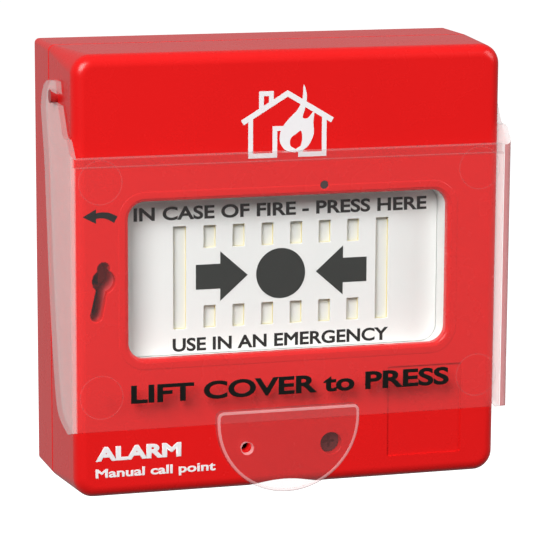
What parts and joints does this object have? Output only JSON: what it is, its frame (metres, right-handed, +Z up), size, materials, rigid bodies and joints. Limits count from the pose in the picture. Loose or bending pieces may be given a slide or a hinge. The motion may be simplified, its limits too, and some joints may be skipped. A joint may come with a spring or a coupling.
{
  "type": "manual call point",
  "caption": "Wall-mounted manual fire call point: square red body, recessed slotted press plate, key reset, and a hinged clear cover with side wings and a finger tab.",
  "frame": {"origin": "centre of the body on the wall face of the back box", "axes": "+Z up, the front face looks along -Y, +X to the right seen from the front"},
  "size_m": [0.1086, 0.045, 0.1058],
  "materials": {
    "housing_red": "gloss",
    "white_plastic": "satin",
    "chassis_plastic": "satin",
    "black_plastic": "satin",
    "clear_plastic": "clear, lightly frosted",
    "smoked_clear": "gloss",
    "yellow_plastic": "satin",
    "orange_plastic": "satin",
    "button_red": "satin",
    "lamp_red": "gloss",
    "rubber_black": "matt",
    "board_green": "satin",
    "block_green": "satin",
    "screw_steel": "zinc plated",
    "screw_black": "black zinc",
    "spring_steel": "bright drawn wire",
    "contact_brass": "bright",
    "resistor_tan": "lacquered"
  },
  "bodies": {
    "root": {"back_box": "housing_red", "cable_grommet": "rubber_black", "front_housing": "housing_red", "housing_screw": "screw_black", "hinge_studs": "housing_red", "window_tray": "white_plastic", "key_guide": "black_plastic", "light_pipe": "smoked_clear", "chassis": "chassis_plastic", "chassis_screws": "screw_steel", "circuit_board": "board_green", "board_screws": "screw_steel", "terminal_block": "block_green", "terminal_clamps": "contact_brass", "terminal_screws": "screw_steel", "microswitch_body": "black_plastic", "microswitch_terminals": "contact_brass", "status_led": "lamp_red", "resistors": "resistor_tan", "lever_pin": "screw_steel", "return_springs": "spring_steel", "latch_spring": "spring_steel", "barrel_clip": "spring_steel"},
    "cover": {"cover_flap": "clear_plastic"},
    "press": {"press_plate": "white_plastic", "press_carrier": "white_plastic"},
    "indicator": {"indicator_slide": "yellow_plastic"},
    "trip": {"trip_lever": "black_plastic"},
    "button": {"microswitch_button": "button_red"},
    "key": {"key_barrel": "black_plastic"},
    "latch": {"latch_slide": "orange_plastic"}
  },
  "joints": [
    {"name": "cover_hinge", "type": "hinge", "parent": "root", "child": "cover", "pos_m": [0, -0.0244, 0.0412], "axis": [-1, 0, 0], "range_deg": [0, 110]},
    {"name": "press_travel", "type": "slide", "parent": "root", "child": "press", "axis": [0, 1, 0], "range_m": [0, 0.0025], "stiffness_N_per_m": 1200, "deforming": ["return_springs"]},
    {"name": "indicator_shift", "type": "slide", "parent": "press", "child": "indicator", "axis": [1, 0, 0], "range_m": [0, 0.00357]},
    {"name": "trip_swing", "type": "hinge", "parent": "root", "child": "trip", "pos_m": [0.021, -0.021, 0.0155], "axis": [1, 0, 0], "range_deg": [0, 9.2]},
    {"name": "button_travel", "type": "slide", "parent": "root", "child": "button", "axis": [0, 1, 0], "range_m": [0, 0.0008]},
    {"name": "key_turn", "type": "hinge", "parent": "root", "child": "key", "pos_m": [-0.0453, -0.03, -0.00045], "axis": [0, -1, 0], "range_deg": [0, 45]},
    {"name": "latch_travel", "type": "slide", "parent": "root", "child": "latch", "axis": [1, 0, 0], "range_m": [0, 0.0045], "stiffness_N_per_m": 60, "deforming": ["latch_spring"]}
  ],
  "couplings": [
    {"joint": "indicator_shift", "follows": "press_travel", "ratio": 1.428},
    {"joint": "trip_swing", "follows": "press_travel", "rad_per_m": 64.2},
    {"joint": "button_travel", "follows": "press_travel", "ratio": 0.32},
    {"joint": "key_turn", "follows": "latch_travel", "rad_per_m": 174.5}
  ]
}
